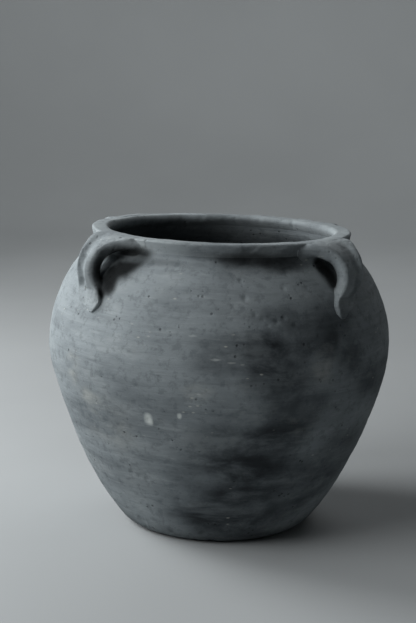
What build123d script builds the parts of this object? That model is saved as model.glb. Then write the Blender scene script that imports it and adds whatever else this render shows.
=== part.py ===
"""Four-eared storage jar in unglazed, smoke-darkened clay.

The jar is put together the way its potter puts it together: a floor slab, three wall
bands built up one on the other, a rolled rim coil, and four grooved strap ears, each
bedded on the neck in a wad of luting clay. Every piece of clay is its own solid, and
neighbours meet face to face.

Millimetres, +Z up. The origin is the middle of the underside, on the jar's axis. The
front of the jar is towards -Y, and the ears stand in two pairs, to the right and left.
"""
from build123d import *
import math
import os

# ---------------------------------------------------------------- driving dimensions
HEIGHT = 303.0            # underside to the flat top of the rim
BELLY_R = 175.0           # greatest outer radius
BELLY_Z = 188.0           # height of the greatest radius
FOOT_R = 84.0             # flat of the underside
FOOT_ROUND_R = 23.0       # radius of the worn lower corner
FOOT_LEAVE_DEG = 52.0     # how steeply the wall leaves that corner, from level
WALL = 9.5                # wall thickness, measured level
SLAB_TOP = 12.0           # top of the floor slab
FLOOR_R = 90.0            # radius of the flat floor inside
FLOOR_SPREAD = 1.6        # the wall leaves the floor this much outward for each 1 up

# The wall between foot and neck: (height, how far the outside lies within the greatest
# radius, wall thickness as a share of WALL)
WALL_STATIONS = [
    (61.0, 40.5, 1.0),
    (128.0, 13.1, 1.0),
    (BELLY_Z, 0.0, 1.0),
    (243.0, 12.7, 1.0),
    (267.5, 27.6, 1.1),
]

LOWER_JOINT_Z = 95.0      # lower wall to belly wall
UPPER_JOINT_Z = 205.0     # belly wall to shoulder wall
RIM_JOINT_Z = 291.0       # shoulder wall to rim coil

RIM_R = 132.0             # outside of the rim coil
MOUTH_R = 114.5           # inside of the rim coil, the clear mouth
NECK_R = 130.5            # outside of the neck, just under the rim coil
NECK_LEAN = 0.12          # how far in the neck's outside still leans for each 1 up
NECK_BORE_R = 119.0       # inside of the neck
NECK_BORE_LEAN = 0.10     # the same for its inside
RIM_OUTER_ROUND = 1.8     # rounding of the rim coil's outer edges
RIM_INNER_ROUND = 3.5     # rounding of the rim coil's inner edges

# Each ear: degrees from the front (-Y) round towards +X to its middle, and which way its
# foot sways (1 for the way the degrees grow, -1 for the other way)
EARS = {
    "front_right": (50.0, -1),
    "front_left": (-52.5, 1),
    "back_right": (130.0, 1),
    "back_left": (-129.0, -1),
}
LUTING_HALF_SPAN = 17.0   # degrees of neck that a luting wad covers, each way
LUTING_PROUD = 4.0        # how far the wad stands off the neck at its thickest
LUTING_TOP_Z = 298.5      # upper edge of the wad, on the rim coil
LUTING_LOW_Z = 278.0      # lower edge of the wad, on the neck
LUTING_BURIED = 6.0       # how far it is drawn into the neck before it is trimmed off

# Stations along an ear's middle line, from inside the rim to the tip of the foot: (distance
# from the jar's axis, height, sway towards the pair's middle, width, thickness, groove depth)
EAR_STATIONS = [
    (121.0, 296.6, 0.0, 64.0, 10.5, 0.0),
    (132.0, 296.4, 0.0, 61.0, 11.5, 0.6),
    (142.0, 293.8, 0.0, 48.0, 12.5, 2.4),
    (150.8, 287.8, 0.0, 38.0, 12.5, 3.8),
    (157.0, 279.0, 0.0, 33.5, 12.0, 4.2),
    (159.6, 269.0, 0.5, 32.0, 11.5, 3.8),
    (158.4, 260.0, 2.5, 30.0, 10.5, 2.8),
    (156.2, 252.3, 6.0, 28.0, 8.5, 1.6),
    (159.8, 244.8, 11.0, 26.0, 6.0, 0.8),
    (163.3, 237.8, 14.0, 22.0, 4.6, 0.3),
    (166.2, 230.5, 15.0, 13.0, 2.6, 0.0),
]
RIDGE_OUT = 0.62          # where the two ridges stand, as a share of the half width
GROOVE_OFF = 0.14         # the groove lies this share of the half width off the middle
UNDERSIDE_FLAT = 0.86     # the underside's shoulders, as a share of its half thickness


# ---------------------------------------------------------------- the jar's outline
def wall_curve(start, start_tangent, inset, neck_r, neck_lean):
    """One side of the wall, from a start point up to the neck, moved in by an inset."""
    on_the_way = [
        (BELLY_R - inward - inset * share, 0, height)
        for height, inward, share in WALL_STATIONS
    ]
    return Spline(
        start,
        *on_the_way,
        (neck_r, 0, RIM_JOINT_Z),
        tangents=[start_tangent, (-neck_lean, 0, 1.0)],
    )


def jar_mass():
    """The jar as if it were filled in: everything inside its outer surface."""
    leave = math.radians(FOOT_LEAVE_DEG)
    foot_top = (
        FOOT_R + FOOT_ROUND_R * math.sin(leave),
        0,
        FOOT_ROUND_R * (1 - math.cos(leave)),
    )
    heading = (math.cos(leave), 0, math.sin(leave))
    wall = wall_curve(foot_top, heading, 0, NECK_R, NECK_LEAN)
    foot = TangentArc((FOOT_R, 0, 0), foot_top, tangent=(1, 0, 0))
    outline = [
        Line((0, 0, 0), (FOOT_R, 0, 0)),
        foot,
        wall,
        Line(wall @ 1, (0, 0, RIM_JOINT_Z)),
        Line((0, 0, RIM_JOINT_Z), (0, 0, 0)),
    ]
    return revolve(make_face(outline), Axis.Z)


def jar_cavity():
    """The space inside the jar, from the top of the slab to the neck."""
    floor_corner, heading = (FLOOR_R, 0, SLAB_TOP), (FLOOR_SPREAD, 0, 1.0)
    wall = wall_curve(floor_corner, heading, WALL, NECK_BORE_R, NECK_BORE_LEAN)
    outline = [
        Line((0, 0, SLAB_TOP), wall @ 0),
        wall,
        Line(wall @ 1, (0, 0, RIM_JOINT_Z)),
        Line((0, 0, RIM_JOINT_Z), (0, 0, SLAB_TOP)),
    ]
    return revolve(make_face(outline), Axis.Z)


def rim_coil():
    """Flat-topped coil on the neck, with its edges rounded by the potter's fingers."""
    width = RIM_R - MOUTH_R
    depth = HEIGHT - RIM_JOINT_Z
    middle = Pos((RIM_R + MOUTH_R) / 2, 0, RIM_JOINT_Z + depth / 2)
    section = middle * (Plane.XZ * Rectangle(width, depth))
    inner = [v for v in section.vertices() if v.X < MOUTH_R + 1]
    section = fillet(inner, RIM_INNER_ROUND)
    outer = [v for v in section.vertices() if v.X > RIM_R - 1]
    section = fillet(outer, RIM_OUTER_ROUND)
    return revolve(section, Axis.Z)


def band(solid, low, high):
    """The slice of a solid between two heights."""
    reach = 2 * (BELLY_R + 10)
    slab = Pos(0, 0, (low + high) / 2) * Box(reach, reach, high - low)
    return solid & slab


# ---------------------------------------------------------------- ears and their luting
def ear_section(plane, width, thickness, groove):
    """A strap's cross-section: two ridges with a finger groove on the outer side."""
    half, thick = width / 2, thickness / 2
    ridge = RIDGE_OUT * half
    edge = Spline(
        (half, 0),
        (ridge, thick),
        (-GROOVE_OFF * half, thick - groove),
        (-ridge, thick),
        (-half, 0),
        (-ridge, -thick * UNDERSIDE_FLAT),
        (0, -thick),
        (ridge, -thick * UNDERSIDE_FLAT),
        periodic=True,
    )
    return plane * make_face(edge)


def ear_strap():
    """One ear along +X, from the rim down to the shoulder, its foot swaying towards +Y."""
    middle = Spline(*[(reach, 0, height) for reach, height, *_ in EAR_STATIONS])
    sections = []
    for reach, height, sway, width, thickness, groove in EAR_STATIONS:
        along = middle.tangent_at((reach, 0, height))
        # the section's x runs round the jar and its y points to the strap's outer side
        plane = Plane(origin=(reach, sway, height), x_dir=(0, 1, 0), z_dir=along)
        sections.append(ear_section(plane, width, thickness, groove))
    return loft(sections)


def luting_wad():
    """A smear of soft clay in the hollow of the neck, under and beside an ear's root."""
    inner = NECK_R - LUTING_BURIED
    hollow = Polyline(
        (inner, 0, LUTING_TOP_Z),
        (RIM_R + 0.15 * LUTING_PROUD, 0, LUTING_TOP_Z),
        (RIM_R + 0.6 * LUTING_PROUD, 0, RIM_JOINT_Z - 1.0),
        (RIM_R + 1.4 * LUTING_PROUD, 0, RIM_JOINT_Z - 8.0),
        (RIM_R + 2.0 * LUTING_PROUD, 0, LUTING_LOW_Z),
        (inner, 0, LUTING_LOW_Z),
        close=True,
    )
    wad = revolve(make_face(hollow), Axis.Z, revolution_arc=2 * LUTING_HALF_SPAN)
    return Rot(0, 0, -LUTING_HALF_SPAN) * wad


def at_bearing(piece, bearing):
    """Turn a piece made along +X so that it stands at a bearing from the front (-Y)."""
    return Rot(0, 0, bearing - 90) * piece


# ---------------------------------------------------------------- the pieces
def make_parts():
    mass = jar_mass()
    body = mass - jar_cavity()
    rim = rim_coil()

    parts = {
        "base_slab": band(body, 0, SLAB_TOP),
        "lower_wall": band(body, SLAB_TOP, LOWER_JOINT_Z),
        "belly_wall": band(body, LOWER_JOINT_Z, UPPER_JOINT_Z),
        "shoulder_wall": band(body, UPPER_JOINT_Z, RIM_JOINT_Z),
        "rim_coil": rim,
    }

    ear = ear_strap() - mass - rim
    wad = luting_wad() - mass - rim - ear
    for place, (bearing, side) in EARS.items():
        for name, piece in (("ear_", ear), ("ear_luting_", wad)):
            if side < 0:
                piece = mirror(piece, about=Plane.XZ)
            parts[name + place] = at_bearing(piece, bearing)
    return parts


os.makedirs("parts", exist_ok=True)
for name, shape in make_parts().items():
    export_step(shape, "parts/" + name + ".step")
    print(name, "solids", len(shape.solids()), "volume cm3", round(shape.volume / 1000, 1))
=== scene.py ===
"""Looks of the four-eared clay storage jar, built round its solid model.

Shapes are worked out in millimetres, in the solid model's own frame, and become metres when
a mesh is made. A bearing is measured in degrees from the front (-Y) round towards +X.
"""

import itertools
import math

import bpy
import numpy as np
from mathutils import Matrix, Vector


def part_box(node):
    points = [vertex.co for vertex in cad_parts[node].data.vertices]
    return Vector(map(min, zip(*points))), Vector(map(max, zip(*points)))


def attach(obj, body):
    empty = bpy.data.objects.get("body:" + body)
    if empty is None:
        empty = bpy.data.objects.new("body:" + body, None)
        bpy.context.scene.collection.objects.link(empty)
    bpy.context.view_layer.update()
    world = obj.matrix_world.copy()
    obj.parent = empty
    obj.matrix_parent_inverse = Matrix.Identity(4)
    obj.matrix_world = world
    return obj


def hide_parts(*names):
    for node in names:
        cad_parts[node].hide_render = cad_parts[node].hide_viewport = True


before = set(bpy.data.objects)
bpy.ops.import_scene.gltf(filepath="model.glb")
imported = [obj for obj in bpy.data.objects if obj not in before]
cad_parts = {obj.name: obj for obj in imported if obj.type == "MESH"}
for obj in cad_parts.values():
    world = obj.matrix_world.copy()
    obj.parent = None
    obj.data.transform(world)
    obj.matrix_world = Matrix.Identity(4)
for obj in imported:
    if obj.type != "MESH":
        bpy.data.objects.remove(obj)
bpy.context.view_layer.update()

MM = 0.001


# ---------------------------------------------------------------- sizes from the frame
def box_mm(node):
    """Lowest and highest corner of a node of the solid model, in millimetres."""
    low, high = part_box(node)
    return np.array(low) / MM, np.array(high) / MM


def node_radii(node, height=None):
    """Distances of a node's vertices from the axis, all of them or those at a height."""
    points = np.array([v.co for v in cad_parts[node].data.vertices]) / MM
    if height is not None:
        points = points[abs(points[:, 2] - height) < 0.05]
    return np.hypot(points[:, 0], points[:, 1])


BELLY_R = box_mm("belly_wall")[1][0]
HEIGHT = box_mm("rim_coil")[1][2]
RIM_R = box_mm("rim_coil")[1][0]
MOUTH_R = node_radii("rim_coil").min()
FOOT_R = node_radii("base_slab", 0.0).max()
SLAB_TOP = box_mm("base_slab")[1][2]
LOWER_JOINT_Z = box_mm("lower_wall")[1][2]
UPPER_JOINT_Z = box_mm("belly_wall")[1][2]
RIM_JOINT_Z = box_mm("rim_coil")[0][2]
WALL = 9.5                # wall thickness, measured level
FOOT_ROUND_R = 23.0       # radius of the worn lower corner
FOOT_LEAVE_DEG = 52.0     # how steeply the wall leaves that corner
BELLY_Z = 188.0           # height of the greatest girth


# ---------------------------------------------------------------- numbers: noise and curves
def noise(points, cell, seed):
    """Smooth lattice noise in -1..1 at points; cell is the size of its lumps."""
    size = 32
    values = np.random.default_rng(seed).uniform(-1, 1, (size, size, size))
    scaled = np.asarray(points, float) / cell + 1000.37
    base = np.floor(scaled).astype(int)
    part = scaled - base
    part = part * part * (3 - 2 * part)
    total = np.zeros(scaled.shape[:-1])
    for corner in itertools.product((0, 1), repeat=3):
        index = (base + corner) % size
        weight = np.prod(np.where(corner, part, 1 - part), axis=-1)
        total += weight * values[index[..., 0], index[..., 1], index[..., 2]]
    return total


def smooth_step(value, low, high):
    """0 below low, 1 above high, and smooth between."""
    t = np.clip((value - low) / (high - low), 0, 1)
    return t * t * (3 - 2 * t)


def clamped_spline(knots, values, first_slope, last_slope):
    """Smooth curve through values at knots, with a given slope at each end."""
    knots, values = np.array(knots, float), np.array(values, float)
    gaps = np.diff(knots)
    count = len(knots)
    system, right = np.zeros((count, count)), np.zeros(count)
    system[0, 0] = system[-1, -1] = 1
    right[0], right[-1] = first_slope, last_slope
    for i in range(1, count - 1):
        before, after = 1 / gaps[i - 1], 1 / gaps[i]
        system[i, i - 1:i + 2] = before, 2 * (before + after), after
        rise_before = (values[i] - values[i - 1]) * before**2
        rise_after = (values[i + 1] - values[i]) * after**2
        right[i] = 3 * (rise_before + rise_after)
    slopes = np.linalg.solve(system, right)

    def curve(at):
        at = np.asarray(at, float)
        k = np.clip(np.searchsorted(knots, at) - 1, 0, count - 2)
        gap = gaps[k]
        t = (at - knots[k]) / gap
        return (
            values[k] * (1 + 2 * t) * (1 - t) ** 2
            + slopes[k] * gap * t * (1 - t) ** 2
            + values[k + 1] * t * t * (3 - 2 * t)
            + slopes[k + 1] * gap * t * t * (t - 1)
        )

    return curve


# ---------------------------------------------------------------- the jar's section
LEAVE = math.radians(FOOT_LEAVE_DEG)
FOOT_TOP_R = FOOT_R + FOOT_ROUND_R * math.sin(LEAVE)
FOOT_TOP_Z = FOOT_ROUND_R * (1 - math.cos(LEAVE))

# Stations between the foot and the rim: (height, how far inside the girth, share of WALL)
GIRTH_STATIONS = [
    (61.0, 40.5, 1.0),
    (128.0, 13.1, 1.0),
    (BELLY_Z, 0.0, 1.0),
    (243.0, 12.7, 1.0),
    (267.5, 27.6, 1.1),
]
STATION_Z = [level for level, _, _ in GIRTH_STATIONS]
OUTSIDE_R = [BELLY_R - inward for _, inward, _ in GIRTH_STATIONS]
INSIDE_R = [BELLY_R - inward - share * WALL for _, inward, share in GIRTH_STATIONS]
NECK_TAPER = 1.6          # how far the neck draws in under the rim
LEDGE = 6.0               # how far the floor reaches past the flat it stands on
NECK_INSIDE_R = 119.0     # inside radius where the neck meets the rim coil

outer_wall = clamped_spline(
    [FOOT_TOP_Z, *STATION_Z, RIM_JOINT_Z, HEIGHT],
    [FOOT_TOP_R, *OUTSIDE_R, RIM_R - NECK_TAPER, RIM_R],
    1 / math.tan(LEAVE), 0.0,
)
inner_wall = clamped_spline(
    [SLAB_TOP, *STATION_Z, RIM_JOINT_Z],
    [FOOT_R + LEDGE, *INSIDE_R, NECK_INSIDE_R],
    1.6, -0.3,
)


def outer_r(z):
    """Outside radius of the jar at a height, foot and rim included."""
    z = np.asarray(z, float)
    low = np.clip(z, 0, FOOT_TOP_Z)
    foot = FOOT_R + np.sqrt(FOOT_ROUND_R**2 - (FOOT_ROUND_R - low) ** 2)
    return np.where(z < FOOT_TOP_Z, foot, outer_wall(z))


def heights(low, high, step):
    """Evenly spaced heights from low to high, about a step apart."""
    return np.linspace(low, high, max(2, round((high - low) / step) + 1))


def section_normals(rows):
    """Outward normals (r, z) of a run of section points walked anticlockwise."""
    ahead = np.gradient(rows, axis=0)
    normals = np.stack([ahead[:, 1], -ahead[:, 0]], axis=1)
    return normals / np.linalg.norm(normals, axis=1, keepdims=True)


def normals_on(radius_at, levels, side):
    """Normals (r, z) of a wall curve, outward for side 1 and inward for side -1."""
    step = 0.2
    slope = (radius_at(levels + step) - radius_at(levels - step)) / (2 * step)
    normals = np.stack([np.ones_like(slope), -slope], axis=1) * side
    return normals / np.linalg.norm(normals, axis=1, keepdims=True)


# ---------------------------------------------------------------- handmade irregularity
def cylinder(points):
    """Bearing in degrees, distance from the axis and height of points."""
    x, y, z = points[..., 0], points[..., 1], points[..., 2]
    return np.degrees(np.arctan2(x, -y)), np.hypot(x, y), z


def at(bearing, radius, z):
    """Points from bearing in degrees, distance from the axis and height."""
    turn = np.radians(bearing)
    shape = np.broadcast_shapes(np.shape(bearing), np.shape(radius), np.shape(z))
    return np.stack(
        [np.broadcast_to(part, shape) for part in
         (radius * np.sin(turn), -radius * np.cos(turn), np.asarray(z, float))],
        axis=-1,
    )


def handmade(points):
    """The slow unevenness of the whole jar: out of round, a little off its axis."""
    bearing, radius, z = cylinder(points)
    turn = np.radians(bearing)
    free = smooth_step(z, 0, 40)
    swell = free * (
        0.9 * np.sin(2 * turn + 0.6) + 0.5 * np.sin(3 * turn - 1.1 + z / 120)
        + 0.6 * noise(points, 95, 3)
    )
    scale = 1 + swell / np.maximum(radius, 60)
    moved = points.copy()
    moved[..., 0] = points[..., 0] * scale + 1.3 * np.exp(-(((z - 112) / 45) ** 2))
    moved[..., 1] = points[..., 1] * scale
    lift = smooth_step(z, 235, 300)
    moved[..., 2] = z - lift * (0.0085 * points[..., 0] + 0.35 * np.sin(2 * turn + 2.0))
    return moved


def throwing_rings(points):
    """Fine level ridges left by the potter's fingers, in millimetres."""
    wander = points * (0.05, 0.05, 1.0)
    broad = noise(wander + 2.2 * noise(points, 130, 21)[..., None], 6.5, 22)
    fine = noise(wander, 2.6, 23)
    return 0.22 * broad + 0.07 * fine


def lumps(points):
    """Dents, finger pats and scraped flats on the clay, in millimetres."""
    return (
        0.55 * noise(points, 48, 31) + 0.26 * noise(points, 19, 32)
        + 0.09 * noise(points, 7, 33)
    )


def joint_line(points, level, depth, width, seed):
    """The faint level groove where two bands of wall were luted together."""
    z = points[..., 2]
    wander = 1.3 * noise(points, 70, seed)
    fade = 0.6 + 0.4 * noise(points, 55, seed + 1)
    return -depth * fade * np.exp(-(((z - level - wander) / width) ** 2))


# Pits and grazes that a person would notice: (bearing, height, radius, depth)
PITS = [
    (7.5, 272.0, 2.0, 1.0), (8.4, 257.5, 2.3, 1.2), (4.6, 251.0, 1.5, 0.8),
    (11.3, 243.2, 2.0, 1.0), (13.6, 239.5, 1.6, 0.9), (16.0, 242.0, 1.5, 0.8),
    (18.2, 237.0, 2.1, 1.1), (20.8, 240.0, 1.7, 0.9), (24.3, 233.4, 1.9, 1.0),
    (15.2, 234.0, 1.4, 0.7), (-16.5, 120.4, 2.0, 1.0), (-28.8, 73.5, 2.2, 0.8),
    (-35.3, 78.0, 2.6, 0.9), (-32.0, 75.6, 2.0, 0.8),
]
# Flakes lost from the lower corner: (bearing, height, radius, depth)
FOOT_FLAKES = [
    (-43.0, 15.7, 5.0, 1.3), (-38.0, 12.0, 4.0, 1.0), (-24.0, 12.3, 4.2, 1.1),
    (-6.5, 13.6, 3.2, 0.9), (60.0, 11.0, 4.0, 1.0), (160.0, 12.0, 5.0, 1.2),
    (-140.0, 13.0, 4.5, 1.1),
]


def pits(points):
    """Burnt-out grit: small bowls in the surface, some placed and some scattered."""
    rng = np.random.default_rng(41)
    scattered = zip(
        rng.uniform(-180, 180, 150), rng.uniform(22, 286, 150),
        rng.uniform(0.9, 1.9, 150), rng.uniform(0.25, 0.8, 150),
    )
    bearing, radius, z = cylinder(points)
    depth = np.zeros(z.shape)
    for place, level, size, deep in itertools.chain(PITS, FOOT_FLAKES, scattered):
        near = abs(z - level) < 3 * size
        round_gap = (bearing[near] - place + 180) % 360 - 180
        across = np.radians(round_gap) * radius[near]
        away = (across**2 + (z[near] - level) ** 2) / size**2
        depth[near] += deep * np.exp(-(away**1.5))
    return -depth


def foot_chips(points):
    """Flakes lost from the worn lower corner."""
    _, radius, z = cylinder(points)
    low = 1 - smooth_step(z, 5, 14)
    broken = smooth_step(noise(points, 11, 51) + 0.5 * noise(points, 4, 52), 0.45, 0.8)
    return -1.3 * low * broken * smooth_step(radius, FOOT_R - 6, FOOT_R + 4)


def outer_relief(points):
    """How far the outside stands out from its plain shape, in millimetres."""
    z = points[..., 2]
    seams = joint_line(points, LOWER_JOINT_Z, 0.42, 1.6, 61)
    seams = seams + joint_line(points, UPPER_JOINT_Z, 0.16, 2.4, 63)
    made = smooth_step(z, 0, 6) * (throwing_rings(points) + lumps(points) + seams)
    return made + pits(points) + foot_chips(points)


def inner_relief(points):
    """The inside is left with deeper finger rings."""
    wander = points * (0.06, 0.06, 1.0)
    return 0.55 * noise(wander, 9.0, 71) + 0.5 * noise(points, 40, 72)


# Nicks in the rim's outer edge: (bearing, half size, depth)
RIM_NICKS = [(139.5, 2.8, 2.4), (-116.0, 2.2, 1.0), (168.0, 2.6, 1.2)]


def rim_relief(points):
    """A slow wave along the rim, and flakes lost from its edges."""
    off_middle = abs(cylinder(points)[1] - (RIM_R + MOUTH_R) / 2)
    worn = smooth_step(noise(points, 9, 81) + 0.4 * noise(points, 3.5, 82), 0.5, 0.9)
    chips = -0.8 * worn * smooth_step(off_middle, 5, 9)
    for bearing, size, depth in RIM_NICKS:
        away = np.linalg.norm((points - at(bearing, RIM_R - 2.0, HEIGHT)) / size, axis=-1)
        chips = chips - depth * np.exp(-(away**4))
    return 0.5 * noise(points, 34, 83) + 0.2 * noise(points, 11, 84) + chips


def jar_relief(points):
    """Relief of the rim, going over into the wall's inside or outside below it."""
    _, radius, level = cylinder(points)
    own = smooth_step(level, RIM_JOINT_Z, RIM_JOINT_Z + 6)
    outside = radius > (RIM_R + MOUTH_R) / 2
    wall = np.where(outside, outer_relief(points), inner_relief(points))
    return own * rim_relief(points) + (1 - own) * wall


# ---------------------------------------------------------------- mesh making
def bearings_round():
    """Bearings of a mesh's columns: close together in front, wider apart behind."""
    fine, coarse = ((0.62, 0.85))
    front = np.arange(-75, 75, fine)
    back = np.linspace(75, 285, round(210 / coarse), endpoint=False)
    return np.concatenate([front, back])


BEARINGS = bearings_round()
ROW_STEP = 1.35


def make_object(name, points, faces, sharp_deg=None):
    """A smooth-shaded mesh object from points in millimetres."""
    mesh = bpy.data.meshes.new(name)
    mesh.from_pydata((points * MM).tolist(), [], faces)
    mesh.validate()
    mesh.polygons.foreach_set("use_smooth", [True] * len(mesh.polygons))
    if sharp_deg:
        mesh.set_sharp_from_angle(angle=math.radians(sharp_deg))
    mesh.update()
    piece = bpy.data.objects.new(name, mesh)
    bpy.context.scene.collection.objects.link(piece)
    return piece


def quads_between(rows, columns, wrap_rows):
    """Faces of a grid whose columns close on themselves, and its rows too if asked."""
    faces = []
    last = rows if wrap_rows else rows - 1
    for i in range(last):
        low, high = i * columns, (i + 1) % rows * columns
        for j in range(columns):
            k = (j + 1) % columns
            faces.append((low + j, low + k, high + k, high + j))
    return faces


def spun(section, normals, relief, weight):
    """Points of a section carried round the jar, with its relief and unevenness."""
    bearing, radius = BEARINGS[None, :], section[:, 0][:, None]
    points = at(bearing, radius, section[:, 1][:, None])
    out = at(bearing, normals[:, 0][:, None], normals[:, 1][:, None])
    height = relief(points) * weight[:, None]
    return handmade(points + out * height[..., None])


def wall_band(name, low, high):
    """A closed band of wall between two heights."""
    levels = heights(low, high, ROW_STEP)
    outside = np.stack([outer_r(levels), levels], axis=1)
    levels = heights(low, high, 2.4 * ROW_STEP)[::-1]
    inside = np.stack([inner_wall(levels), levels], axis=1)
    # normals are taken from the whole section, so that neighbours agree at a joint
    outer_normals = normals_on(outer_r, outside[:, 1], 1)
    inner_normals = normals_on(inner_wall, inside[:, 1], -1)
    shell_out = spun(outside, outer_normals, outer_relief, np.ones(len(outside)))
    shell_in = spun(inside, inner_normals, inner_relief, np.ones(len(inside)))
    points = np.concatenate([shell_out, shell_in])
    rows, columns = points.shape[:2]
    faces = quads_between(rows, columns, wrap_rows=True)
    return make_object(name, points.reshape(-1, 3), faces, sharp_deg=50)


def base_slab():
    """The disc that the jar stands on, with its worn corner and scraped underside."""
    flat_step = 4 * ROW_STEP
    under = np.linspace(flat_step, FOOT_R, round(FOOT_R / flat_step))
    under = np.stack([under, np.zeros_like(under)], axis=1)
    turn = np.linspace(0, LEAVE, 16)[1:]
    corner = np.stack(
        [FOOT_R + FOOT_ROUND_R * np.sin(turn), FOOT_ROUND_R * (1 - np.cos(turn))], axis=1
    )
    levels = heights(FOOT_TOP_Z, SLAB_TOP, 0.8)[1:]
    side = np.stack([outer_r(levels), levels], axis=1)
    outside = np.concatenate([under, corner, side])
    outer_normals = section_normals(outside)
    outer_normals[-1] = normals_on(outer_r, levels[-1:], 1)[0]
    top = np.linspace(inner_wall(SLAB_TOP), flat_step, round(FOOT_R / flat_step))
    top = np.stack([top, np.full_like(top, SLAB_TOP)], axis=1)
    top_normals = np.tile([0.0, 1.0], (len(top), 1))
    # the underside stays flat where it stands
    weight = np.ones(len(outside))
    weight[:len(under) - 2] = 0.0
    shell_out = spun(outside, outer_normals, outer_relief, weight)
    shell_top = spun(top, top_normals, inner_relief, np.linspace(0, 0.6, len(top)))
    points = np.concatenate([shell_out, shell_top])
    rows, columns = points.shape[:2]
    faces = quads_between(rows, columns, wrap_rows=False)
    flat = points.reshape(-1, 3)
    middles = np.array([shell_out[0].mean(axis=0), shell_top[-1].mean(axis=0)])
    count = len(flat)
    last = (rows - 1) * columns
    for j in range(columns):
        k = (j + 1) % columns
        faces.append((count, k, j))
        faces.append((count + 1, last + j, last + k))
    return make_object("base_slab_clay", np.concatenate([flat, middles]), faces, 50)


def rim_coil():
    """The flat-topped coil: worn edges, a shallow wave along its top, small nicks."""
    outer_round, inner_round = 2.2, 4.5
    levels = heights(RIM_JOINT_Z, HEIGHT - outer_round, 0.8)
    outside = np.stack([outer_r(levels), levels], axis=1)
    turn = np.linspace(0, math.pi / 2, 7)[1:]
    outer_corner = np.stack(
        [RIM_R - outer_round * (1 - np.cos(turn)),
         HEIGHT - outer_round * (1 - np.sin(turn))], axis=1
    )
    flat = np.linspace(RIM_R - outer_round, MOUTH_R + inner_round, 15)[1:-1]
    top = np.stack([flat, np.full_like(flat, HEIGHT)], axis=1)
    inner_corner = np.stack(
        [MOUTH_R + inner_round * (1 - np.sin(turn - turn[0])),
         HEIGHT - inner_round * (1 - np.cos(turn - turn[0]))], axis=1
    )
    levels = heights(HEIGHT - inner_round - 1.0, RIM_JOINT_Z, 1.2)
    drop = (HEIGHT - inner_round - levels) / (HEIGHT - inner_round - RIM_JOINT_Z)
    lip = MOUTH_R + (inner_wall(RIM_JOINT_Z) - MOUTH_R) * drop**2
    inside = np.stack([lip, levels], axis=1)
    section = np.concatenate([outside, outer_corner, top, inner_corner, inside])
    normals = section_normals(section)
    normals[0] = normals_on(outer_r, section[:1, 1], 1)[0]
    normals[-1] = normals_on(inner_wall, section[-1:, 1], -1)[0]

    points = spun(section, normals, jar_relief, np.ones(len(section)))
    rows, columns = points.shape[:2]
    faces = quads_between(rows, columns, wrap_rows=True)
    return make_object("rim_coil_clay", points.reshape(-1, 3), faces, 50)


# ---------------------------------------------------------------- solids from a sampled field
def along_axis(axis, here, others):
    """An index that is `here` on one axis and takes `others` on the two that follow."""
    index = [None, None, None]
    index[axis], index[(axis + 1) % 3], index[(axis + 2) % 3] = here, *others
    return tuple(index)


def surface_net(field, origin, step):
    """Vertices, face list and cell of each vertex where a sampled field crosses zero."""
    inside = field < 0
    low, high = slice(None, -1), slice(1, None)
    cells = tuple(n - 1 for n in field.shape)
    total, hits = np.zeros(cells + (3,)), np.zeros(cells)
    for axis in range(3):
        for b, c in itertools.product((0, 1), repeat=2):
            others = (high if b else low, high if c else low)
            first = field[along_axis(axis, low, others)]
            second = field[along_axis(axis, high, others)]
            cross = (first < 0) != (second < 0)
            part = np.zeros(cells + (3,))
            part[..., axis] = first / np.where(cross, first - second, 1.0)
            part[..., (axis + 1) % 3], part[..., (axis + 2) % 3] = b, c
            total += part * cross[..., None]
            hits += cross
    mixed = np.argwhere(hits > 0)
    number = np.full(cells, -1)
    number[tuple(mixed.T)] = np.arange(len(mixed))
    points = (mixed + total[tuple(mixed.T)] / hits[tuple(mixed.T)][:, None]) * step + origin
    faces = []
    inner = slice(1, -1)
    for axis in range(3):
        first = inside[along_axis(axis, low, (inner, inner))]
        second = inside[along_axis(axis, high, (inner, inner))]
        around = [
            number[along_axis(axis, slice(None), (u, v))]
            for u, v in ((low, low), (high, low), (high, high), (low, high))
        ]
        for keep, order in ((first & ~second, (0, 1, 2, 3)), (second & ~first, (0, 3, 2, 1))):
            faces.append(np.stack([around[k][keep] for k in order], axis=-1))
    return points, np.concatenate(faces), mixed


def soft_min(a, b, reach):
    """The lesser of two fields, joined by a fillet about `reach` wide."""
    near = np.maximum(reach - abs(a - b), 0) / reach
    return np.minimum(a, b) - near * near * reach / 4


# ---------------------------------------------------------------- ears
# Stations along an ear's middle line, from inside the rim down under the tip of its foot:
# (distance from the jar's axis, height, sway towards the pair's middle, width, thickness,
# groove depth)
EAR_STATIONS = np.array([
    (121.0, 297.6, 0.0, 62.0, 11.2, 0.0),
    (132.0, 297.3, 0.0, 60.0, 11.6, 0.8),
    (142.0, 294.7, -0.5, 47.0, 12.6, 2.8),
    (150.8, 289.0, -1.2, 34.5, 13.4, 4.6),
    (156.4, 280.2, -1.8, 29.0, 13.8, 5.6),
    (158.8, 269.5, -1.6, 27.0, 13.4, 5.4),
    (158.2, 260.5, 1.0, 26.5, 12.4, 3.8),
    (157.6, 253.6, 5.0, 27.0, 10.8, 1.8),
    (160.9, 247.4, 9.8, 27.0, 6.8, 0.6),
    (163.4, 241.8, 12.2, 22.0, 4.0, 0.2),
    (165.2, 237.4, 13.2, 13.0, 2.6, 0.0),
    (166.5, 234.0, 13.5, 5.0, 1.2, 0.0),
])
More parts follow.
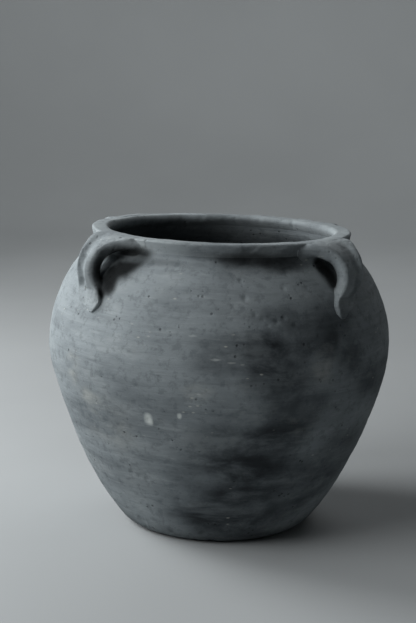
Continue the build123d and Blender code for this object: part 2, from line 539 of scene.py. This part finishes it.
# Each ear: (which way its foot sways, extra width on the side away from the sway,
# extra sway of the tip, how far the foot is spread away from the sway)
EAR_HAND = {
    "ear_front_right": (-1, 4.0, 5.5, 0.0),
    "ear_front_left": (1, 0.0, 0.0, 13.0),
    "ear_back_right": (1, 1.5, 2.0, 5.0),
    "ear_back_left": (-1, 0.5, 1.0, 7.0),
}
GROOVE_OFF = 0.34         # the groove lies this share of the half width off the middle
GROOVE_REACH = (0.24, 0.42)   # how wide it is on either side of its lowest line, likewise
BURIED = 0.55             # the ear's skirt ends this far under the jar's surface
WELL_INSIDE = -50.0       # stands for a boundary that is nowhere near


def ear_bearing(node):
    """Bearing of an ear's middle, read from the root of its node."""
    points = np.array([v.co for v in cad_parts[node].data.vertices]) / MM
    root = points[points[:, 2] > 280]
    turn = np.unwrap(np.arctan2(root[:, 0], -root[:, 1]))
    turn = np.where(turn - turn[0] > math.pi, turn - 2 * math.pi, turn)
    turn = np.where(turn - turn[0] < -math.pi, turn + 2 * math.pi, turn)
    return math.degrees((turn.min() + turn.max()) / 2)


def ear_tracks(count):
    """The stations made into smooth runs along the middle line: one row per column."""
    steps = np.linalg.norm(np.diff(EAR_STATIONS[:, :2], axis=0), axis=1)
    walked = np.concatenate([[0], np.cumsum(steps)])
    where = np.linspace(0, walked[-1], count)
    rows = []
    for column in EAR_STATIONS.T:
        first = (column[1] - column[0]) / steps[0]
        last = (column[-1] - column[-2]) / steps[-1]
        rows.append(clamped_spline(walked, column, first, last)(where))
    return np.array(rows)


def strap_field(reach, side, level, hand, spare, tip, spread, seed):
    """How far points are outside one strap, given along, across and up its own frame."""
    tracks = ear_tracks(400)
    middle = tracks[:2].T
    along = np.gradient(middle, axis=0)
    along /= np.linalg.norm(along, axis=1, keepdims=True)
    # everything but the way across is the same in every slice
    flat = np.stack(np.broadcast_arrays(reach, level), axis=-1)
    nearest = np.empty(flat.shape[:-1], int)
    for row in np.ndindex(flat.shape[:1]):
        away = flat[row][..., None, :] - middle
        nearest[row] = (away**2).sum(axis=-1).argmin(axis=-1)
    offset = flat - middle[nearest]
    ahead = along[nearest]
    lift = offset[..., 1] * ahead[..., 0] - offset[..., 0] * ahead[..., 1]
    past = (offset * ahead).sum(axis=-1)
    before_start = np.where(nearest == 0, -past, WELL_INSIDE)
    after_end = np.where(nearest == len(middle) - 1, past, WELL_INSIDE)
    _, _, sway, width, thick, groove = tracks[:, nearest]
    # the pressed foot spreads between these heights, and its tip sways at the lowest
    foot = smooth_step(-level, -264, -250) * smooth_step(level, 233, 243)
    spare = spare * smooth_step(level, 240, 275) + spread * foot
    sway = sway + tip * smooth_step(-level, -244, -234)
    half, deep = (width + spare) / 2, thick / 2
    across = side - hand * (sway - spare / 2)
    across = across - 0.9 * np.sin(nearest / 55 + seed)
    far = across * hand < 0
    off_groove = across * hand + GROOVE_OFF * half
    bed = np.exp(-((off_groove / (np.where(off_groove < 0, *GROOVE_REACH) * half)) ** 2))
    dip = groove * bed + 0.14 * (abs(across) / half) ** 3 * deep
    dip = dip + 0.20 * spread * foot * smooth_step(-across * hand / half, -0.3, 1.0)
    raised = lift + dip * smooth_step(lift, -0.2 * deep, 0.7 * deep)
    corner = np.where(far, 0.62, 0.50) * deep
    out_side, out_up = abs(across) - (half - corner), abs(raised) - (deep - corner)
    beyond = np.hypot(np.maximum(out_side, 0), np.maximum(out_up, 0))
    strap = beyond + np.minimum(np.maximum(out_side, out_up), 0) - corner
    return np.maximum(strap, np.maximum(before_start, after_end))


def jar_field(radius, level):
    """How far points are outside the jar's own clay, on the side the ears are."""
    at_level = np.clip(level, 0, HEIGHT)
    slope = (outer_r(at_level + 0.2) - outer_r(at_level - 0.2)) / 0.4
    wall = (radius - outer_r(at_level)) / np.sqrt(1 + slope**2)
    return -soft_min(-wall, -(level - HEIGHT), 3.0)


def ear(node, seed):
    """A strap ear: two ridges and a finger groove, smeared on to the rim, pressed foot."""
    hand, spare, tip, spread = EAR_HAND[node]
    step = 0.62
    reach = np.arange(116.0, 171.0, step)[:, None, None]
    side = np.arange(-50.0, 50.0, step)[None, :, None]
    level = np.arange(222.0, 307.0, step)[None, None, :]
    strap = strap_field(reach, side, level, hand, spare, tip, spread, seed)
    radius = np.hypot(reach, side)
    jar = jar_field(radius, level)
    fillet = 2.0 + 10.0 * smooth_step(level, 258, 280) * smooth_step(-level, -302, -297)
    joined = soft_min(strap, jar + BURIED, fillet)
    skirt = 7.0 + 9.0 * smooth_step(level, 258, 286)
    field = np.maximum(np.maximum(joined, -(jar + BURIED + 3.0)), strap - skirt)
    field = np.maximum(field, MOUTH_R + 8.0 - radius)
    origin = np.array([reach[0, 0, 0], side[0, 0, 0], level[0, 0, 0]])
    points, faces, cells = surface_net(field, origin, step)

    # unit outward directions of the ear and of the jar under it
    def directions(values):
        slopes = np.stack([g[tuple(cells.T)] for g in np.gradient(values)], axis=-1)
        return slopes / np.maximum(np.linalg.norm(slopes, axis=-1, keepdims=True), 1e-9)

    turn = math.radians(ear_bearing(node))
    outward = np.array([math.sin(turn), -math.cos(turn), 0.0])
    sideways = np.array([math.cos(turn), math.sin(turn), 0.0])
    to_jar = np.array([outward, sideways, [0.0, 0.0, 1.0]])
    clear = smooth_step(jar[tuple(cells.T)], 0.3, 4.0)
    ear_out, jar_out = directions(joined) @ to_jar, directions(jar) @ to_jar
    points = points @ to_jar
    rough = 0.50 * noise(points, 13, 100 + seed) + 0.20 * noise(points, 5, 110 + seed)
    rough = rough - 0.5 * smooth_step(noise(points, 3.2, 115 + seed), 0.45, 0.8)
    if node == "ear_front_left":
        hole = at(-53.2, 161.5, 252.5)
        rough = rough - 2.0 * np.exp(-((np.linalg.norm(points - hole, axis=-1) / 2.0) ** 4))
    points = points + ear_out * (rough * clear)[:, None]
    points = points + jar_out * (jar_relief(points) * (1 - clear))[:, None]
    return make_object(node + "_clay", handmade(points), faces.tolist())


def luting(node, ear_node, seed):
    """A smear of clay in the hollow of the neck, torn thin at its edge."""
    middle = ear_bearing(ear_node)
    step = 0.35
    span = 19.0
    bearings = middle + np.arange(-span, span + step, step)
    levels = heights(280.0, HEIGHT - 1.2, 0.8)
    bearing, level = np.meshgrid(bearings, levels)
    radius = outer_r(level)
    points = at(bearing, radius, level)
    gap = abs(bearing - middle) / span
    low_edge = 282.0 + 6.0 * gap**1.5
    edge = noise(points, 11, 120 + seed) * 4.0 + noise(points, 3.5, 130 + seed) * 2.0
    inside = np.minimum((span - abs(bearing - middle)) * 2.2, (level - low_edge) * 1.3)
    inside = np.minimum(inside, (HEIGHT - 2.5 - level) * 2.0) + edge - 2.0
    hollow = np.exp(-(((level - 290) / 6.0) ** 2))
    thick = (1.0 + 1.6 * hollow * (1 - gap**1.2)) * smooth_step(inside, 0, 13) - 0.42
    thick = thick + 0.22 * noise(points * (0.4, 0.4, 1.0), 2.4, 140 + seed)
    slope = normals_on(outer_r, levels, 1)
    out = at(bearing, slope[:, 0][:, None], slope[:, 1][:, None])
    outside = handmade(points + out * (outer_relief(points) + thick)[..., None])
    backing = handmade(points - out * 2.5)
    rows, columns = bearing.shape
    shell = np.concatenate([outside.reshape(-1, 3), backing.reshape(-1, 3)])
    half = rows * columns
    faces = []
    for i in range(rows - 1):
        for j in range(columns - 1):
            a = i * columns + j
            b, c, d = a + 1, a + columns + 1, a + columns
            faces.append((a, b, c, d))
            faces.append((half + a, half + d, half + c, half + b))
    ring = list(range(columns))
    ring += [i * columns + columns - 1 for i in range(1, rows)]
    ring += [(rows - 1) * columns + j for j in range(columns - 2, -1, -1)]
    ring += [i * columns for i in range(rows - 2, 0, -1)]
    for a, b in zip(ring, ring[1:] + ring[:1]):
        faces.append((b, a, half + a, half + b))
    return make_object(node + "_clay", shell, faces)


# ---------------------------------------------------------------- clay material
class Nodes:
    """Short calls for building a node tree."""

    def __init__(self, material):
        self.tree = material.node_tree
        self.place = 0

    def add(self, kind, inputs=None, **settings):
        node = self.tree.nodes.new(kind)
        node.location = (self.place, 0)
        self.place += 180
        for key, value in settings.items():
            setattr(node, key, value)
        for key, value in (inputs or {}).items():
            if isinstance(value, bpy.types.NodeSocket):
                self.tree.links.new(value, node.inputs[key])
            else:
                node.inputs[key].default_value = value
        return node

    def math(self, operation, a, b):
        node = self.add("ShaderNodeMath", {0: a, 1: b}, operation=operation)
        return node.outputs[0]

    def vector(self, operation, a, b):
        node = self.add("ShaderNodeVectorMath", {0: a, 1: b}, operation=operation)
        return node.outputs["Value" if operation == "LENGTH" else "Vector"]

    def noise(self, coordinates, scale, detail=4.0, rough=0.55, distortion=0.0):
        node = self.add(
            "ShaderNodeTexNoise",
            {"Vector": coordinates, "Scale": scale, "Detail": detail,
             "Roughness": rough, "Distortion": distortion},
        )
        return node.outputs["Fac"]

    def ramp(self, value, low, high, out_low=0.0, out_high=1.0):
        node = self.add(
            "ShaderNodeMapRange",
            {"Value": value, "From Min": low, "From Max": high,
             "To Min": out_low, "To Max": out_high},
            interpolation_type="SMOOTHSTEP",
        )
        return node.outputs["Result"]

    def mix(self, amount, a, b):
        node = self.add("ShaderNodeMix", data_type="RGBA")
        for socket, value in zip((0, 6, 7), (amount, a, b)):
            if isinstance(value, bpy.types.NodeSocket):
                self.tree.links.new(value, node.inputs[socket])
            else:
                node.inputs[socket].default_value = value
        return node.outputs[2]


def colour(r, g, b):
    """Linear colour from sRGB values of 0 to 255."""
    def linear(value):
        value /= 255
        return value / 12.92 if value <= 0.04045 else ((value + 0.055) / 1.055) ** 2.4
    return (linear(r), linear(g), linear(b), 1.0)


# Edge of the painted shade inside the mouth, in metres: its radius at the rim joint, how fast
# it widens below that, and its greatest radius; the belly's inside is wider and keeps its
# plain clay
MOUTH_SHADE_R, MOUTH_SHADE_SLOPE, MOUTH_SHADE_MAX_R = 0.128, 0.66, 0.160

CLAY = colour(134, 141, 144)
CLAY_PALE = colour(160, 166, 167)
CLAY_DUSTY = colour(176, 177, 170)
# the two smoke tones also serve as painted shade in the clouds and on the foot; the black is
# painted shade round the ears and inside the mouth
SMOKE_AND_SHADE = colour(66, 72, 77)
SOOT_AND_SHADE = colour(26, 28, 30)
SHADE_BLACK = colour(8, 9, 9)
LIME = colour(204, 209, 206)

# Marks on the outside: (bearing, height, width, tallness, strength, distance off the wall)
# smoke clouds; those on the right half of the front, low down and in the band under the rim
# are partly painted shade
SMOKE_AND_SHADE_CLOUDS = [
    (12, 211, 52, 34, 1.0, 0), (25, 214, 60, 26, 0.65, 0), (1, 215, 44, 30, 0.5, 0),
    (38, 231, 60, 36, 0.6, 0), (18, 241, 74, 20, 0.45, 0), (37, 212, 30, 30, 0.4, 0),
    (14, 186, 50, 34, 0.75, 0), (0, 197, 54, 26, 0.45, 0), (24, 188, 56, 28, 0.5, 0),
    (22, 166, 46, 40, 0.65, 0), (33, 156, 32, 32, 0.5, 0), (46, 196, 32, 40, 0.6, 0),
    (57, 172, 44, 44, 0.6, 0), (24, 133, 56, 42, 0.7, 0), (70, 165, 50, 56, 0.4, 0),
    (6, 124, 90, 40, 0.6, 0), (-6, 108, 56, 44, 0.5, 0), (12, 96, 96, 42, 0.9, 0),
    (30, 78, 80, 30, 0.6, 0), (9, 64, 90, 36, 0.9, 0), (52, 96, 90, 60, 0.45, 0),
    (48, 62, 70, 34, 0.5, 0), (-12, 84, 40, 40, 0.35, 0), (2, 36, 110, 46, 0.95, 0),
    (36, 44, 60, 40, 0.5, 0), (12, 292, 62, 20, 1.0, 0), (28, 288, 60, 22, 0.9, 0),
    (-8, 293, 50, 10, 0.4, 0), (14, 12, 90, 22, 0.6, 0), (110, 130, 120, 110, 0.5, 0),
    (165, 230, 110, 60, 0.5, 0), (-150, 120, 120, 80, 0.45, 0),
    (24, 231, 40, 14, 0.45, 0), (17, 194, 44, 22, 0.5, 0), (18, 125, 60, 26, 0.5, 0),
    (38, 213, 26, 20, 0.4, 0), (11, 288, 70, 14, 0.6, 0), (15, 280, 90, 14, 0.45, 0),
    (27, 28, 50, 24, 0.45, 0),
]
PALE_PATCHES = [
    (-54, 178, 26, 40, 0.7, 0), (-46, 148, 24, 26, 0.7, 0), (-6, 170, 34, 16, 0.7, 0),
    (-42, 130, 70, 50, 0.4, 0), (34, 197, 28, 40, 0.8, 0), (28, 140, 44, 14, 0.5, 0),
    (10, 152, 50, 18, 0.4, 0), (-100, 190, 70, 60, 0.45, 0), (150, 90, 70, 40, 0.4, 0),
    (-130, 60, 60, 30, 0.4, 0),
]
# Painted shade and cast shadow round the ears, and painted shade in the hollow of the neck
PAINTED_EAR_SHADE = [
    (-36, 284, 24, 18, 0.9, 0), (-41, 288, 34, 20, 1.0, 0), (-40, 276, 28, 28, 1.0, 0),
    (-43.6, 264, 20, 32, 1.0, 0), (-45.2, 250, 11, 24, 1.0, 0), (-46.6, 272, 21, 44, 1.0, 10),
    (-43.5, 287, 26, 20, 1.0, 9), (-34, 290, 22, 12, 0.7, 0), (-44.3, 270, 19, 26, 1.0, 0),
    (-40, 281, 28, 20, 1.0, 0), (-42, 258, 15, 18, 0.9, 0), (-50, 268, 12, 36, 0.4, 18),
    (-46.6, 273, 12, 20, 1.0, 0), (43.3, 281, 14, 20, 1.0, 0),
    (44.5, 278, 18, 22, 0.9, 0), (45, 264, 14, 24, 0.8, 0),
    (12, 288, 64, 14, 0.75, 1), (25, 284, 50, 16, 0.6, 0), (4, 291, 50, 9, 0.4, 1),
    (46, 270, 22, 42, 1.0, -2), (121, 274, 22, 36, 0.8, -2), (-120, 274, 22, 36, 0.8, -2),
    (138, 272, 14, 30, 0.7, 0), (-137, 272, 14, 30, 0.7, 0), (59, 274, 12, 24, 0.6, 0),
]
PALE_SPOTS = [
    (-22.7, 140, 9, 13, 0.8, 0), (-11.8, 148, 4, 7, 0.7, 0), (-22.0, 137, 6, 8, 0.5, 0),
    (-5.4, 171, 5, 3, 0.5, 0), (-1.0, 204, 9, 2.2, 0.3, 0), (3.6, 201, 7, 2.0, 0.3, 0),
    (-8.0, 224, 8, 2.0, 0.25, 0), (6.8, 199.6, 5, 2.0, 0.3, 0),
]


def blots(nodes, position, places):
    """Soft-edged marks on the outside wall, in one mask."""
    total = None
    for bearing, level, width, tall, strength, off in places:
        centre = at(bearing, outer_r(level) + off, level) * MM
        from_centre = nodes.vector("SUBTRACT", position, tuple(float(v) for v in centre))
        size = (width * MM / 2, width * MM / 2, tall * MM / 2)
        scaled = nodes.vector("DIVIDE", from_centre, size)
        away = nodes.vector("LENGTH", scaled, (0, 0, 0))
        mark = nodes.ramp(away, 0.35, 1.45, strength, 0.0)
        if total is None:
            total = mark
        else:
            both = nodes.math("MULTIPLY", total, mark)
            total = nodes.math("SUBTRACT", nodes.math("ADD", total, mark), both)
    return total


class ClayPatterns:
    """The noises that the clay's colour and bump share, all fixed to the jar."""

    def __init__(self, nodes):
        self.position = nodes.add("ShaderNodeTexCoord").outputs["Object"]
        self.height = nodes.add(
            "ShaderNodeSeparateXYZ", {"Vector": self.position}).outputs["Z"]
        banded = nodes.vector("MULTIPLY", self.position, (0.10, 0.10, 1.0))
        self.half_banded = nodes.vector("MULTIPLY", self.position, (0.45, 0.45, 1.0))
        self.drift = nodes.noise(self.half_banded, 9.0, 5.0, 0.6, 0.3)
        self.mottle = nodes.noise(self.half_banded, 34.0, 6.0, 0.66, 0.3)
        self.fine_mottle = nodes.noise(self.position, 120.0, 5.0, 0.68)
        self.streak = nodes.noise(banded, 300.0, 4.0, 0.65)
        self.wide_streak = nodes.noise(banded, 70.0, 4.0, 0.6, 0.3)
        self.grain = nodes.noise(self.position, 900.0, 3.0, 0.7)
        # positions pushed about by noise, a lot or a little, to break up the edges of marks
        push = nodes.add(
            "ShaderNodeTexNoise",
            {"Vector": self.position, "Scale": 20.0, "Detail": 6.0, "Roughness": 0.62},
        )
        shift = nodes.vector("SUBTRACT", push.outputs["Color"], (0.5, 0.5, 0.5))
        far_push = nodes.vector("MULTIPLY", shift, (0.035, 0.035, 0.028))
        near_push = nodes.vector("MULTIPLY", shift, (0.008, 0.008, 0.008))
        self.wander = nodes.vector("ADD", self.position, far_push)
        self.ragged = nodes.vector("ADD", self.position, near_push)
        self.apart = nodes.add("ShaderNodeSeparateXYZ", {"Vector": self.wander}).outputs
        # specks of dark grit
        grit = nodes.add("ShaderNodeTexVoronoi", {"Vector": self.position, "Scale": 160.0})
        grit_on = nodes.ramp(nodes.noise(self.position, 55.0, 2.0), 0.56, 0.66)
        speck = nodes.ramp(grit.outputs["Distance"], 0.12, 0.26, 1.0, 0.0)
        self.speck = nodes.math("MULTIPLY", speck, grit_on)


def body_colour(nodes, clay, smoke_and_shade_amount):
    """The fired clay: mottled and streaked, with smoke clouds, partly painted shade, and pale
    bloom.
    """
    base = nodes.mix(nodes.ramp(clay.drift, 0.30, 0.62, 0.40, 0.0), CLAY, SMOKE_AND_SHADE)
    base = nodes.mix(nodes.ramp(clay.mottle, 0.46, 0.72, 0.0, 0.42), base, CLAY_PALE)
    base = nodes.mix(nodes.ramp(clay.mottle, 0.28, 0.46, 0.30, 0.0), base, SMOKE_AND_SHADE)
    base = nodes.mix(nodes.ramp(clay.fine_mottle, 0.36, 0.50, 0.30, 0.0), base, SMOKE_AND_SHADE)
    base = nodes.mix(nodes.ramp(clay.wide_streak, 0.50, 0.72, 0.0, 0.28), base, SMOKE_AND_SHADE)
    base = nodes.mix(nodes.ramp(clay.streak, 0.54, 0.74, 0.0, 0.30), base, CLAY_PALE)
    base = nodes.mix(nodes.ramp(clay.streak, 0.28, 0.44, 0.22, 0.0), base, SMOKE_AND_SHADE)
    broken = nodes.ramp(clay.mottle, 0.38, 0.66, 1.0, 0.6)
    # the cloud mask is smoke tone and partly painted shade
    smoke_and_shade_mask = nodes.math("MULTIPLY", blots(nodes, clay.wander, SMOKE_AND_SHADE_CLOUDS), broken)
    smoke_and_shade_mask = nodes.math("MULTIPLY", smoke_and_shade_mask, smoke_and_shade_amount)
    base = nodes.mix(nodes.math("MULTIPLY", smoke_and_shade_mask, 0.90), base, SMOKE_AND_SHADE)
    deep_smoke_and_shade_mask = nodes.math("MULTIPLY", smoke_and_shade_mask, smoke_and_shade_mask)
    base = nodes.mix(nodes.math("MULTIPLY", deep_smoke_and_shade_mask, 0.95), base, SOOT_AND_SHADE)
    bloom = blots(nodes, clay.wander, PALE_PATCHES)
    bloom = nodes.math("MULTIPLY", bloom, nodes.ramp(clay.mottle, 0.38, 0.62))
    return nodes.mix(nodes.math("MULTIPLY", bloom, 0.55), base, CLAY_DUSTY)


def with_small_marks(nodes, clay, base, smoke_and_shade_amount):
    """Adds pale spots and scratches, painted shade darkening the foot, dark grit and white
    flecks of lime.
    """
    spots = blots(nodes, clay.ragged, PALE_SPOTS)
    base = nodes.mix(nodes.math("MULTIPLY", spots, 0.9), base, LIME)
    # painted shade: the foot grows darker towards the ground
    foot_shade = nodes.ramp(clay.apart["Z"], 0.002, 0.026, 0.40, 0.0)
    base = nodes.mix(nodes.math("MULTIPLY", foot_shade, smoke_and_shade_amount), base, SOOT_AND_SHADE)
    base = nodes.mix(nodes.math("MULTIPLY", clay.speck, 0.6), base, SOOT_AND_SHADE)
    lime = nodes.add("ShaderNodeTexVoronoi", {"Vector": clay.half_banded, "Scale": 190.0})
    lime_on = nodes.ramp(nodes.noise(clay.position, 24.0, 3.0), 0.58, 0.66)
    fleck = nodes.ramp(lime.outputs["Distance"], 0.08, 0.2, 1.0, 0.0)
    fleck = nodes.math("MULTIPLY", fleck, lime_on)
    return nodes.mix(nodes.math("MULTIPLY", fleck, 0.6), base, CLAY_DUSTY)


def with_painted_shade(nodes, clay, base):
    """Adds painted shade round the ears and in the neck's hollow, and painted shade in the
    mouth, darker on the left.
    """
    # 1 inside the upper part of the jar, 0 outside it, and fading out lower down
    flat = nodes.vector("MULTIPLY", clay.position, (1, 1, 0))
    across = nodes.vector("LENGTH", flat, (0, 0, 0))
    drop = nodes.math("SUBTRACT", RIM_JOINT_Z * MM, clay.height)
    drop = nodes.math("MAXIMUM", drop, 0)
    edge = nodes.math("ADD", nodes.math("MULTIPLY", drop, MOUTH_SHADE_SLOPE), MOUTH_SHADE_R)
    edge = nodes.math("MINIMUM", edge, MOUTH_SHADE_MAX_R)
    inner = nodes.ramp(nodes.math("SUBTRACT", edge, across), -0.001, 0.001)
    inner = nodes.math("MULTIPLY", inner, nodes.ramp(clay.height, 0.13, 0.20))

    # painted shade and cast shadow round the ears, kept off the inside
    ear_shade = nodes.math("MULTIPLY", blots(nodes, clay.ragged, PAINTED_EAR_SHADE), 0.95)
    ear_shade = nodes.math("MULTIPLY", ear_shade, nodes.math("SUBTRACT", 1.0, inner))
    base = nodes.mix(ear_shade, base, SHADE_BLACK)
    # painted shade inside the mouth below the rim, darker on the left
    below_rim = nodes.ramp(clay.apart["Z"], 0.292, 0.303, 1.0, 0.0)
    to_left = nodes.ramp(clay.apart["X"], -0.02, 0.085, 0.76, 0.2)
    inner = nodes.math("MULTIPLY", nodes.math("MULTIPLY", inner, below_rim), to_left)
    return nodes.mix(inner, base, SHADE_BLACK)


def clay_material(name, pale=0.0, smooth=0.0, smoke_and_shade_amount=1.0):
    """Unglazed smoke-fired clay. pale is rubbed clay dust, smooth is finger-smoothing, and the
    last argument scales the smoke clouds and the painted shade on the foot.
    """
    material = bpy.data.materials.new(name)
    material.use_nodes = True
    nodes = Nodes(material)
    nodes.tree.nodes.clear()
    output = nodes.add("ShaderNodeOutputMaterial")
    shader = nodes.add("ShaderNodeBsdfPrincipled")
    nodes.tree.links.new(shader.outputs[0], output.inputs["Surface"])
    shader.inputs["Metallic"].default_value = 0.0
    shader.inputs["Specular IOR Level"].default_value = 0.10

    clay = ClayPatterns(nodes)
    base = body_colour(nodes, clay, smoke_and_shade_amount)
    base = with_small_marks(nodes, clay, base, smoke_and_shade_amount)
    if pale:
        rubbed = nodes.ramp(clay.mottle, 0.30, 0.60, 0.35 * pale, pale)
        base = nodes.mix(rubbed, base, CLAY_PALE)
    base = with_painted_shade(nodes, clay, base)
    nodes.tree.links.new(base, shader.inputs["Base Color"])

    rough = nodes.ramp(clay.mottle, 0.3, 0.7, 0.74 - 0.08 * smooth, 0.90)
    nodes.tree.links.new(rough, shader.inputs["Roughness"])

    # bump: turning lines, grain and pits where the grit lies
    relief = nodes.math("MULTIPLY", clay.streak, 1.1 - 0.6 * smooth)
    relief = nodes.math("ADD", relief, nodes.math("MULTIPLY", clay.grain, 0.35))
    relief = nodes.math("ADD", relief, nodes.math("MULTIPLY", clay.fine_mottle, 0.7))
    relief = nodes.math("SUBTRACT", relief, nodes.math("MULTIPLY", clay.speck, 1.4))
    bump = nodes.add("ShaderNodeBump", {"Strength": 0.6, "Distance": 0.0007, "Height": relief})
    nodes.tree.links.new(bump.outputs["Normal"], shader.inputs["Normal"])
    return material


# ---------------------------------------------------------------- building the jar
def finish_piece(piece, node, material):
    """Gives a piece its material and its place in the solid model."""
    piece.data.materials.clear()
    piece.data.materials.append(material)
    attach(piece, "root")
    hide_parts(node)


def build_jar():
    wall_clay = clay_material("wall_clay")
    rim_clay = clay_material("rim_clay", pale=0.20, smooth=0.6, smoke_and_shade_amount=0.8)
    ear_clay = clay_material("ear_clay", pale=0.12, smooth=0.8, smoke_and_shade_amount=0.9)
    luting_clay = clay_material("luting_clay", pale=0.55, smooth=0.4, smoke_and_shade_amount=0.2)

    finish_piece(base_slab(), "base_slab", wall_clay)
    bands = {
        "lower_wall": (SLAB_TOP, LOWER_JOINT_Z),
        "belly_wall": (LOWER_JOINT_Z, UPPER_JOINT_Z),
        "shoulder_wall": (UPPER_JOINT_Z, RIM_JOINT_Z),
    }
    for node, (low, high) in bands.items():
        finish_piece(wall_band(node + "_clay", low, high), node, wall_clay)
    finish_piece(rim_coil(), "rim_coil", rim_clay)
    places = ("front_right", "front_left", "back_right", "back_left")
    for seed, place in enumerate(places):
        ear_node, luting_node = "ear_" + place, "ear_luting_" + place
        finish_piece(ear(ear_node, seed), ear_node, ear_clay)
        wad = luting(luting_node, ear_node, seed)
        finish_piece(wad, luting_node, luting_clay)


# ---------------------------------------------------------------- studio
def plain_material(name, tone):
    """A pale, slightly uneven painted surface for the floor and backdrop."""
    material = bpy.data.materials.new(name)
    material.use_nodes = True
    nodes = Nodes(material)
    nodes.tree.nodes.clear()
    output = nodes.add("ShaderNodeOutputMaterial")
    shader = nodes.add("ShaderNodeBsdfPrincipled")
    nodes.tree.links.new(shader.outputs[0], output.inputs["Surface"])
    position = nodes.add("ShaderNodeTexCoord").outputs["Object"]
    cloud = nodes.ramp(nodes.noise(position, 1.6, 3.0), 0.3, 0.7)
    low = tuple(v * 0.94 for v in tone[:3]) + (1.0,)
    nodes.tree.links.new(nodes.mix(cloud, low, tone), shader.inputs["Base Color"])
    shader.inputs["Roughness"].default_value = 0.9
    return material


def studio_sweep():
    """A round floor that curves up into a backdrop on every side."""
    flat_r, curve_r, top, count = 2.2, 1.0, 2.8, 96
    rows = [(0.6, 0.0), (1.2, 0.0), (1.8, 0.0), (flat_r, 0.0)]
    for step in range(1, 17):
        turn = step / 16 * math.pi / 2
        rows.append((flat_r + curve_r * math.sin(turn), curve_r * (1 - math.cos(turn))))
    rows.append((flat_r + curve_r, top))
    turns = [2 * math.pi * i / count for i in range(count)]
    points = [(r * math.cos(t), r * math.sin(t), z) for r, z in rows for t in turns]
    points.append((0.0, 0.0, 0.0))
    faces = [(len(points) - 1, j, (j + 1) % count) for j in range(count)]
    for i in range(len(rows) - 1):
        for j in range(count):
            a, b = i * count + j, i * count + (j + 1) % count
            faces.append((a, a + count, b + count, b))
    sweep = make_object("studio_sweep", np.array(points) / MM, faces)
    sweep.data.materials.append(plain_material("studio_grey", (0.35, 0.365, 0.37, 1.0)))


WINDOW_WHITE = (0.97, 0.99, 1.0)
BACKDROP_MIDDLE = Vector((0.0, 3.1, 0.9))


def soft_light(name, bearing, elevation, distance, size, power, spread,
               tint=WINDOW_WHITE, aim=None):
    """A large area light placed round the jar, aimed at the jar or at another point."""
    turn, rise = math.radians(bearing), math.radians(elevation)
    middle = Vector((0, 0, HEIGHT * MM * 0.55))
    away = Vector((math.sin(turn) * math.cos(rise), -math.cos(turn) * math.cos(rise),
                   math.sin(rise)))
    light = bpy.data.lights.new(name, "AREA")
    light.shape = "RECTANGLE"
    light.size, light.size_y = size
    light.energy = power
    light.spread = math.radians(spread)
    light.color = tint
    lamp = bpy.data.objects.new(name, light)
    lamp.location = middle + away * distance
    lamp.rotation_mode = "QUATERNION"
    from_aim = lamp.location - (aim or middle)
    lamp.rotation_quaternion = from_aim.to_track_quat("Z", "Y")
    bpy.context.scene.collection.objects.link(lamp)


def light_studio():
    """Two windows on the left, a weak fill from behind and a wash on the backdrop."""
    soft_light("window_left", bearing=-110, elevation=30, distance=1.7, size=(0.8, 0.9),
               power=20, spread=140)
    soft_light("window_front", bearing=-58, elevation=34, distance=1.7, size=(1.2, 1.1),
               power=17, spread=160)
    soft_light("back_fill", bearing=156, elevation=42, distance=2.3, size=(1.8, 1.4),
               power=7, spread=150, tint=(0.98, 0.99, 1.0))
    soft_light("wall_wash", bearing=180, elevation=65, distance=2.9, size=(2.6, 0.4),
               power=19, spread=120, aim=BACKDROP_MIDDLE)
    world = bpy.data.worlds.new("studio_air")
    world.use_nodes = True
    air = world.node_tree.nodes["Background"]
    air.inputs["Color"].default_value = (0.80, 0.88, 0.95, 1.0)
    air.inputs["Strength"].default_value = 0.012
    bpy.context.scene.world = world
    bpy.context.scene.view_settings.view_transform = "Standard"


def place_camera():
    """Looks a little down on the jar from the front, rolled slightly."""
    distance, height = 1.300, 0.4596
    pitch, yaw, roll = math.radians(-10.64), math.radians(0.53), math.radians(1.15)
    camera = bpy.data.cameras.new("camera")
    camera.sensor_width = 36.0
    camera.lens = 74.06
    eye = bpy.data.objects.new("camera", camera)
    turn = Matrix.Rotation(yaw, 4, "Z") @ Matrix.Rotation(math.pi / 2 + pitch, 4, "X")
    turn = turn @ Matrix.Rotation(roll, 4, "Z")
    eye.matrix_world = Matrix.Translation((0.0, -distance, height)) @ turn
    bpy.context.scene.collection.objects.link(eye)
    bpy.context.scene.camera = eye


place_camera()
build_jar()
studio_sweep()
light_studio()
